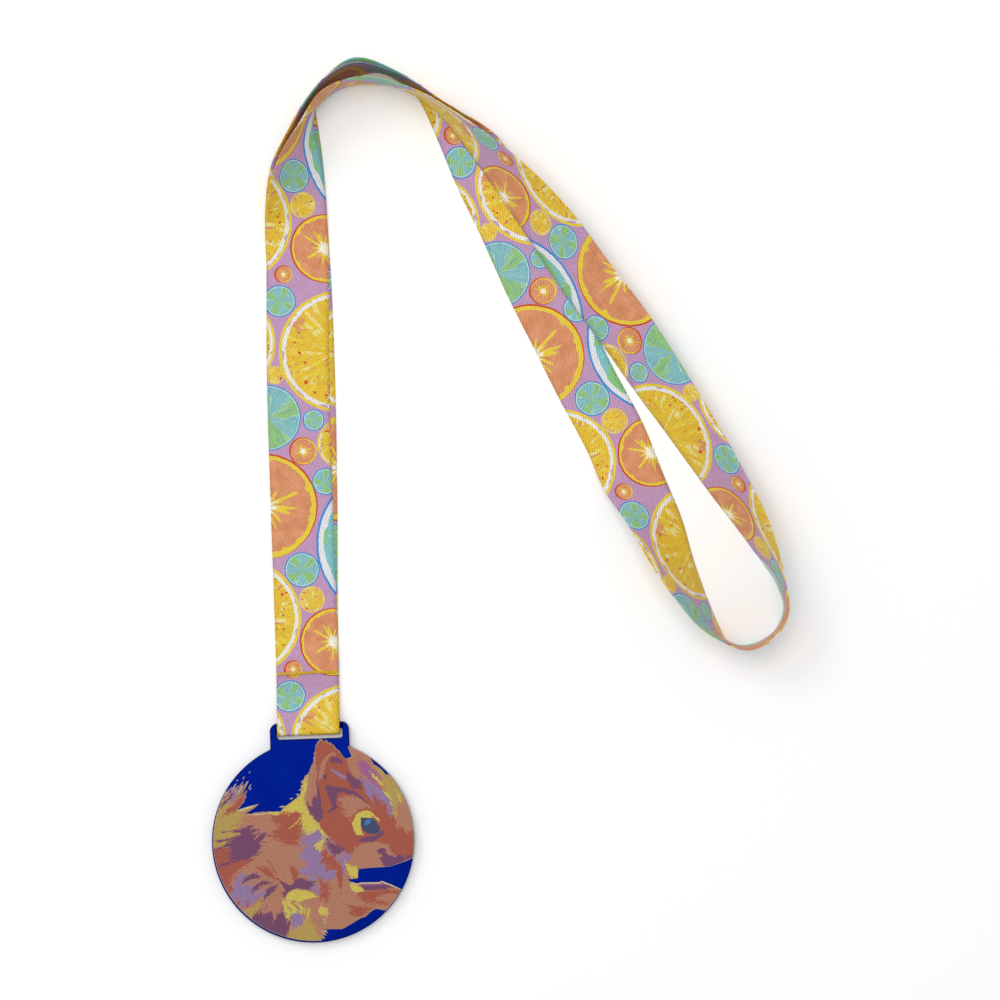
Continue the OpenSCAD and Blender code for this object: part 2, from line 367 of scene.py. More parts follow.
def paint_lemon(g, strip, radius, rim, part, angle, ca, sa):
    broad = spokes(g, ca, sa, part, 3.0, 1.2, 3.0)
    fine = spokes(g, ca, sa, part, 9.0, 2.4, 11.0)
    patch = g.noise(strip, 0.32, 2.5)
    c = g.mix(g.ramp(fine, 0.48, 0.56), GOLD, YELLOW)
    c = g.mix(g.ramp(g.math("MULTIPLY", patch, fine), 0.31, 0.33), c, PALE)
    c = g.mix(g.ramp(broad, 0.62, 0.63), c, SALMON)
    c = g.mix(g.ramp(fine, 0.67, 0.7), c, PALE)
    # thin branching lines and a few strokes near the rim
    near_rim = g.ramp(part, 0.35, 0.7)
    branch = g.math("ABSOLUTE", g.math("SUBTRACT", g.noise(strip, 0.45, 1.0), 0.5))
    c = g.mix(g.math("MULTIPLY", g.ramp(branch, 0.012, 0.006), near_rim), c, SALMON)
    c = g.mix(g.math("MULTIPLY", g.ramp(g.noise(strip, 0.62, 0.5), 0.7, 0.715), near_rim), c, RED)
    # pith, with flecks of the ground colour on its outer side, then the rim
    inner = g.math("MULTIPLY_ADD", radius, 0.105, 0.1)
    jag = g.math("MULTIPLY_ADD", fine, 1.6, -0.8)
    pith = g.ramp(g.math("SUBTRACT", g.math("ADD", rim, jag), inner), 0.05, -0.05)
    fleck = g.ramp(g.math("MULTIPLY_ADD", rim, -0.16, g.noise(strip, 0.24, 2.0)), 0.37, 0.39)
    c = g.mix(pith, c, g.mix(fleck, CREAM, srgb(192, 152, 186)))
    edge = g.math("MULTIPLY_ADD", radius, 0.036, 0.25)
    inset = g.math("SUBTRACT", g.math("MULTIPLY_ADD", jag, 0.15, rim), edge)
    return g.mix(g.ramp(inset, 0.04, -0.04), c, YELLOW)


def paint_orange(g, strip, radius, rim, part, angle, ca, sa):
    fine = spokes(g, ca, sa, part, 5.0, 0.4, 5.0)
    mottle = g.noise(strip, 0.25, 2.0)
    c = g.mix(g.ramp(mottle, 0.3, 0.7), srgb(206, 131, 88), srgb(217, 149, 106))
    # yellow rays that are broad at the heart, and an uneven white star
    ray = g.math("MULTIPLY_ADD", part, -0.58, fine)
    c = g.mix(g.ramp(ray, 0.3, 0.32), c, YELLOW)
    heart = g.math("MULTIPLY_ADD", fine, -0.5, part)
    c = g.mix(g.ramp(heart, -0.06, -0.09), c, STAR)
    edge = g.math("MULTIPLY_ADD", radius, 0.1, 0.12)
    jag = g.math("MULTIPLY", g.math("MULTIPLY_ADD", fine, 2.4, -1.2), g.math("MULTIPLY", radius, 0.13))
    jag = g.math("MULTIPLY", jag, g.math("GREATER_THAN", jag, 0))
    c = g.mix(g.ramp(g.math("SUBTRACT", g.math("MULTIPLY_ADD", jag, -1, rim), edge), 0.05, -0.05), c, YELLOW)
    line = g.math("MULTIPLY_ADD", ca, -0.3, 0.32)
    return g.mix(g.ramp(g.math("SUBTRACT", rim, line), 0.05, -0.05), c, FIRE)


def paint_lime(g, strip, radius, rim, part, angle, ca, sa):
    fine = spokes(g, ca, sa, part, 7.0, 1.6, 2.0)
    broad = spokes(g, ca, sa, part, 2.0, 1.2, 8.0)
    wedge = g.math("MULTIPLY_ADD", angle, 4 / math.pi, g.math("MULTIPLY", broad, 1.6))
    wave = g.math("PINGPONG", wedge, 1.0)
    c = g.mix(g.ramp(wave, 0.44, 0.5), GREEN, TEAL)
    c = g.mix(g.math("MULTIPLY", g.ramp(fine, 0.56, 0.66), 0.8), c, srgb(156, 200, 168))
    c = g.mix(g.math("MULTIPLY", g.ramp(fine, 0.44, 0.34), 0.8), c, srgb(92, 162, 174))
    line = g.math("ABSOLUTE", g.math("SUBTRACT", wave, 0.47))
    c = g.mix(g.math("MULTIPLY", g.ramp(line, 0.04, 0.01), 0.55), c, ICE)
    c = g.mix(g.ramp(rim, 0.72, 0.64), c, ICE)
    return g.mix(g.ramp(rim, 0.5, 0.42), c, BLUE)


def paint_big_lime(g, strip, radius, rim, part, angle, ca, sa):
    broad = spokes(g, ca, sa, part, 5.0, 5.0, 4.0)
    patch = g.noise(strip, 0.16, 2.0)
    c = g.mix(g.ramp(patch, 0.5, 0.52), SEA, srgb(130, 192, 124))
    c = g.mix(g.ramp(broad, 0.57, 0.6), c, srgb(148, 202, 204))
    jag = g.math("MULTIPLY_ADD", patch, 3.0, -1.5)
    c = g.mix(g.ramp(g.math("ADD", rim, jag), 2.6, 2.45), c, srgb(222, 221, 226))
    return g.mix(g.ramp(rim, 0.8, 0.68), c, DEEP)


GROUPS = {
    "lemon": slice_group("lemon_slice", paint_lemon),
    "orange": slice_group("orange_slice", paint_orange),
    "lime": slice_group("lime_slice", paint_lime),
    "big_lime": slice_group("big_lime_slice", paint_big_lime),
}
# kind, across from the centre line, along the front leg, radius, turn
SLICES = [
    ("big_lime", 29.4, 94.7, 25.2, 0.0),
    ("lemon", -20.4, 72.3, 19.0, 0.3),
    ("lemon", 13.8, 157.4, 19.85, 2.0),
    ("lemon", -22.8, 160.3, 15.7, 1.0),
    ("lemon", 13.6, 127.4, 8.0, 4.0),
    ("orange", -11.8, 108.1, 16.95, 2.2),
    ("orange", 8.8, 63.7, 11.0, 0.0),
    ("lime", -9.9, 136.5, 10.6, 0.6),
    ("lime", -0.6, 87.3, 5.7, 0.2),
    ("lime", -5.8, 46.7, 5.2, 1.4),
    ("lime", 4.7, 135.3, 3.55, 2.2),
    ("lime", 8.0, 115.4, 4.4, 0.9),
    ("lemon", 2.2, 77.7, 4.2, 0.5),
    ("lemon", -7.3, 150.2, 2.9, 1.5),
    ("orange", 0.9, 125.4, 4.5, 0.2),
    ("orange", -4.6, 55.4, 2.95, 0.4),
]


def ribbon_material():
    mat, g, shader = material("citrus_satin", Roughness=0.58, Sheen_Weight=0.12, Sheen_Roughness=0.4,
                              Specular_IOR_Level=0.35)
    strip = g.node("ShaderNodeAttribute", attribute_name="strip").outputs["Vector"]
    x, y, _ = g.split(strip)
    colour = MAUVE
    for kind, across, up, radius, turn in SLICES:
        n = g.node("ShaderNodeGroup")
        n.node_tree = GROUPS[kind]
        for s, v in zip(n.inputs, (colour, strip, (across, up, 0), radius, turn)):
            g.put(s, v)
        colour = n.outputs[0]
    # two crossing sets of ribs: cycles per millimetre across and along, and how far they drift
    uneven = g.noise(strip, 0.9, 2.0)
    broken = g.noise(strip, 1.1, 1.0)
    ribs = []
    for across, up, drift in ((1.02, 0.9, 3.0), (1.12, -0.43, -3.0)):
        turn_x = g.math("MULTIPLY", x, across * 2 * math.pi)
        turn_y = g.math("MULTIPLY", y, up * 2 * math.pi)
        phase = g.math("ADD", turn_x, turn_y)
        ribs.append(g.math("SINE", g.math("MULTIPLY_ADD", uneven, drift, phase)))
    both = g.math("MULTIPLY_ADD", ribs[1], 0.8, ribs[0])
    rib_relief_and_shade = g.math("MULTIPLY", both, g.math("MULTIPLY_ADD", broken, 1.6, 0.2))
    knots = g.math("MULTIPLY_ADD", broken, 0.3, -0.15)
    blotch = g.noise(strip, 0.35, 2.0)
    plain = g.math("MULTIPLY_ADD", blotch, 0.2, g.math("ADD", knots, 0.9))
    # the ribs' light and dark bands in the colour are painted shade and highlight between the ribs, over the
    # random tone of knots and blotches; the same ribs also make the bump and the roughness
    tone_and_shade = g.math("MULTIPLY_ADD", rib_relief_and_shade, 0.135, plain)
    # painted shade: the pocket below the seam is made a little darker in the colour
    painted_seam_shade = g.math("MULTIPLY", g.ramp(y, 45.0, 50.0), g.ramp(y, 53.9, 53.5))
    tone_and_shade = g.math("MULTIPLY_ADD", painted_seam_shade, -0.07, tone_and_shade)
    shade = g.node("ShaderNodeMix", data_type="RGBA", blend_type="MULTIPLY")
    g.put(shade.inputs[0], 1.0)
    g.put(shade.inputs[6], colour)
    g.put(shade.inputs[7], g.xyz(tone_and_shade, tone_and_shade, tone_and_shade))
    g.put(shader.inputs["Base Color"], shade.outputs[2])
    ripple = g.math("MULTIPLY_ADD", g.noise(strip, 0.25, 2.0), 4.0, rib_relief_and_shade)
    g.put(shader.inputs["Normal"], g.bump(ripple, 0.45, 0.0001))
    g.put(shader.inputs["Roughness"], g.math("MULTIPLY_ADD", rib_relief_and_shade, -0.03, 0.58))
    return mat


ribbon.data.materials.append(ribbon_material())
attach(ribbon, "ribbon")
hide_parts("ribbon")


THREAD_PITCH = 1.7


def thread_mesh():
    """Two plies twisted together, laid across the ribbon and tucked in at its edges."""
    rings, turns, ply, lay = 220, 8, 0.25, 0.25
    start, stop, height, drop, reach = -9.95, 9.7, 1.55, 0.45, 0.35
    verts, faces = [], []
    for side in (0, math.pi):
        base = len(verts)
        centres = []
        for k in range(rings + 1):
            t = k / rings
            x = start + (stop - start) * t
            phase = 2 * math.pi * x / THREAD_PITCH + side
            tuck = math.exp(-((x - start) / reach) ** 2) + math.exp(-((stop - x) / reach) ** 2)
            wave = 0.14 * math.sin(x * 0.62 + 0.5) + 0.02 * x
            y, z = SEAM_Y + wave, height - drop * tuck
            centres.append(Vector((x, y + lay * math.cos(phase), z + lay * math.sin(phase))))
        for k, c in enumerate(centres):
            ahead = centres[min(k + 1, rings)] - centres[max(k - 1, 0)]
            u = ahead.cross(Vector((0, 0, 1))).normalized()
            w = ahead.cross(u).normalized()
            for m in range(turns):
                a = 2 * math.pi * m / turns
                verts.append((c + ply * (math.cos(a) * u + math.sin(a) * w)) * MM)
        for k in range(rings):
            for m in range(turns):
                a, b = base + k * turns + m, base + k * turns + (m + 1) % turns
                faces.append((a, b, b + turns, a + turns))
        faces.append(tuple(reversed(range(base, base + turns))))
        faces.append(tuple(range(base + rings * turns, base + (rings + 1) * turns)))
    return mesh_object("seam_cord", verts, faces)


def thread_material():
    """Shiny filaments that run along the plies."""
    mat, g, shader = material("gold_thread", Roughness=0.45, Sheen_Weight=0.1, Specular_IOR_Level=0.35)
    v = g.node("ShaderNodeVectorMath", operation="SCALE")
    g.put(v.inputs[0], g.node("ShaderNodeTexCoord").outputs["Object"])
    v.inputs["Scale"].default_value = 1000
    x, y, z = g.split(v.outputs[0])
    lengthwise = g.math("MULTIPLY_ADD", x, 1.2, g.math("MULTIPLY", y, 1.6))
    stretched = g.xyz(lengthwise, g.math("MULTIPLY", y, 9.0), g.math("MULTIPLY", z, 9.0))
    fibre = g.noise(stretched, 1.0, 3.0, 0.6)
    c = g.mix(g.ramp(fibre, 0.3, 0.7), srgb(206, 160, 20), srgb(236, 204, 48))
    # painted shade: the groove between the plies is darker in the colour
    groove_shade = g.math("SINE", g.math("MULTIPLY_ADD", x, 4 * math.pi / THREAD_PITCH, g.math("MULTIPLY", y, 3.4)))
    c = g.mix(g.math("MULTIPLY", g.ramp(groove_shade, 0.35, 0.95), 0.7), c, srgb(150, 104, 8))
    g.put(shader.inputs["Base Color"], c)
    g.put(shader.inputs["Roughness"], g.math("MULTIPLY_ADD", fibre, 0.3, 0.3))
    g.put(shader.inputs["Normal"], g.bump(fibre, 0.4, 0.00005))
    return mat


thread = thread_mesh()
thread.data.materials.append(thread_material())
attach(thread, "ribbon")
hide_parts("seam_thread")

# ---------------------------------------------------------------- the medal's body

DISC_R, BODY_T, ROUND = 32.5, 3.2, 0.42
TAB_HALF, TAB_TOP, TAB_CORNER, BLEND_R = 12.7, 38.2, 2.5, 1.0
SLOT_HALF, SLOT_FLOOR, SLOT_CORNER, BAR_R, BAR_Y = 10.6, 32.9, 1.0, 1.1, 37.1
# How far each end of the bar is sunk in the tab, and its number of lengths.
BAR_SUNK, BAR_STEPS = 0.3, 8


def arc(cx, cy, r, start, end, count):
    return [(cx + r * math.cos(math.radians(start + (end - start) * k / count)),
             cy + r * math.sin(math.radians(start + (end - start) * k / count))) for k in range(count + 1)]


def body_outline():
    """The disc, its tab and the open slot, anticlockwise."""
    reach = TAB_HALF + BLEND_R
    blend_y = math.sqrt((DISC_R + BLEND_R) ** 2 - reach**2)
    touch = math.degrees(math.atan2(blend_y, reach))
    half = (arc(reach, blend_y, BLEND_R, touch + 180, 180, 6)
            + arc(TAB_HALF - TAB_CORNER, TAB_TOP - TAB_CORNER, TAB_CORNER, 0, 57, 7)
            + arc(SLOT_HALF + 0.55, TAB_TOP - 0.78, 0.55, 80, 180, 5)
            + [(SLOT_HALF, y) for y in (36.5, 35.5, 34.7)]
            + arc(SLOT_HALF - SLOT_CORNER, SLOT_FLOOR + SLOT_CORNER, SLOT_CORNER, 0, -90, 6))
    floor_line = [(x, SLOT_FLOOR) for x in (6, 2, -2, -6)]
    other = [(-x, y) for x, y in reversed(half)]
    return half + floor_line + other + arc(0, 0, DISC_R, 180 - touch, 360 + touch, 260)[1:-1]


def offset_loop(loop, distance):
    """The loop moved inwards along each point's own normal."""
    out = []
    for i, (x, y) in enumerate(loop):
        (ax, ay), (bx, by) = loop[i - 1], loop[(i + 1) % len(loop)]
        dx, dy = bx - ax, by - ay
        n = math.hypot(dx, dy)
        out.append((x - dy / n * distance, y + dx / n * distance))
    return out


def fill(loop):
    """Triangles inside a closed loop, as indices into its points."""
    pts, _, tris, *_ = delaunay_2d_cdt([Vector(p) for p in loop], [], [list(range(len(loop)))], 1, 1e-6)
    if len(pts) != len(loop):
        raise ValueError("the outline crosses or touches itself")
    return tris


def medal_mesh():
    loop = body_outline()
    n = len(loop)
    verts, faces, levels = [], [], []
    for k in range(7):
        a = math.radians(15 * k)
        levels.append((ROUND * (1 - math.sin(a)), ROUND * (1 - math.cos(a))))
    # each level is (how far in, height); the edge is rounded at the back and at the front
    rows = [(d, z) for d, z in levels] + [(d, BODY_T - z) for d, z in reversed(levels)]
    for d, z in rows:
        verts += [Vector((x, y, z)) * MM for x, y in offset_loop(loop, d)]
    for r in range(len(rows) - 1):
        for k in range(n):
            a, b = r * n + k, r * n + (k + 1) % n
            faces.append((a, b, b + n, a + n))
    smooth = len(faces)
    for row, z, turn in ((0, 0.0, -1), (len(rows) - 1, BODY_T, 1)):
        for t in fill(offset_loop(loop, rows[row][0])):
            t = [row * n + k for k in t]
            faces.append(tuple(t[::turn]))
    # the bar
    base, turns = len(verts), 32
    length = 2 * SLOT_HALF + 2 * BAR_SUNK
    stops = [-SLOT_HALF - BAR_SUNK + k * length / BAR_STEPS for k in range(BAR_STEPS + 1)]
    for x in stops:
        verts += [Vector((x, BAR_Y + BAR_R * math.cos(2 * math.pi * k / turns),
                          BODY_T / 2 + BAR_R * math.sin(2 * math.pi * k / turns))) * MM for k in range(turns)]
    bar = []
    for r in range(BAR_STEPS):
        for k in range(turns):
            a, b = base + r * turns + k, base + r * turns + (k + 1) % turns
            bar.append((a, b, b + turns, a + turns))
    last = base + BAR_STEPS * turns
    caps = [tuple(reversed(range(base, base + turns))), tuple(range(last, last + turns))]
    obj = mesh_object("medal_casting", verts, faces + bar + caps)
    flat = set(range(smooth, len(faces)))
    for poly in obj.data.polygons:
        poly.use_smooth = poly.index not in flat
    return obj


def speckle(g, scale):
    """Object coordinates in millimetres and a fine grain on them."""
    v = g.node("ShaderNodeVectorMath", operation="SCALE")
    g.put(v.inputs[0], g.node("ShaderNodeTexCoord").outputs["Object"])
    v.inputs["Scale"].default_value = 1000
    return v.outputs[0], g.noise(v.outputs[0], scale, 3.0, 0.6)


def blue_material():
    mat, g, shader = material("satin_blue", Metallic=0.9, Roughness=0.42, Specular_IOR_Level=0.05)
    where, grain = speckle(g, 6.0)
    cloud = g.noise(where, 0.12, 2.0)
    c = g.mix(g.ramp(cloud, 0.3, 0.7), srgb(0, 16, 102), srgb(0, 21, 110))
    g.put(shader.inputs["Base Color"], g.mix(g.ramp(grain, 0.45, 0.75), c, srgb(2, 28, 120)))
    g.put(shader.inputs["Roughness"], g.math("MULTIPLY_ADD", grain, 0.16, 0.33))
    g.put(shader.inputs["Normal"], g.bump(grain, 0.22, 0.00003))
    return mat


medal = medal_mesh()
medal.data.materials.append(blue_material())
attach(medal, "medal")
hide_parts("medal_body")

# ---------------------------------------------------------------- the squirrel motif

TOP = 3.6
SEED = 7
# How far the print stays inside the disc's rim.
BORDER = 0.38
# Below the flat top: how far out and how high the foot of the bevel and of the wall are.
SIDES = ((0.11, TOP - 0.1), (0.2, BODY_T - 0.05))
# The corners below are where the print shows from the camera, so they are moved by its height's parallax.
PARALLAX = (0.22, 0.38)
COLOURS = {
    "T": (176, 120, 96), "R": (164, 84, 66), "P": (114, 68, 100), "Y": (202, 184, 82), "O": (178, 150, 80),
    # C is a cream painted on the motif's upper edges as a highlight
    "L": (146, 117, 158), "M": (156, 92, 138), "S": (60, 72, 104), "B": (70, 118, 174), "C": (206, 188, 156),
    # edge: the bevel's pale colour, a painted highlight
    "edge": (196, 180, 160), "wall": (8, 14, 60),
}
# Each run of the outline: direction and length of its fur, then its corners.
OUTLINE = """
52 1.9 -33 12 -29.6 15.6 -27.6 16 -26 16 -24.8 15.8 -23.8 15.4 -22.8 15.2 -21.9 15.6
56 0.9 -21.2 14.9 -22 13.2 -23.2 11.8 -24.4 10.5
28 0.4 -21 11.4 -17.3 12.2 -19.4 10.7 -21.5 9.6
12 0.7 -20.6 9.1 -17 9.7 -13 9.6 -10 9.7
200 1.1 -9.2 11 -7 12.3 -4.8 13.8 -3.6 15 -3 17 -2.4 19.6
205 0.7 -1.9 21 -0.8 21.4 -0.1 22.8 0.7 24.4 1.3 26.2 1.5 28.4
110 0.9 1.8 30.2 2.4 31.2 3.6 31.6 5 31.5 6.4 31 7.4 30.2 8.6 28.8 9.8 27.4 10.6 26.2
100 0.3 11.4 25.7 13.3 26.4 12.7 28 12 30 11.6 33
0 0 24 31 18.8 26
300 0.5 20 23.8 22 22.4 23.7 20.4 25.4 20.1 26.4 18.9
0 0 27.6 18.4 34 12 34 -5.8 32 -6.4 30.4 -7.1 28 -8 24 -9.1 18 -9.3 14.1 -9.5
340 0.5 13.8 -10.6 13.6 -12.6
0 0 11.4 -12.7 10.6 -12.3 11 -13.7 12.4 -14 13.4 -14.4 14.6 -14.1 20.6 -14.2 21.4 -13.8 24.4 -15.1 28.5 \
  -17.2
0 0 30 -24 22.4 -23.2 19.5 -22.5 18.2 -22.9 17 -23.8 15.8 -24.9 14 -25.4 12.4 -26.4 8.2 -28.6 3.4 -28.5
325 1.3 1.9 -28.4 1.9 -29.4 1.4 -30.4 1.4 -31.4
0 0 1.6 -36 -40 -30 -40 10"""
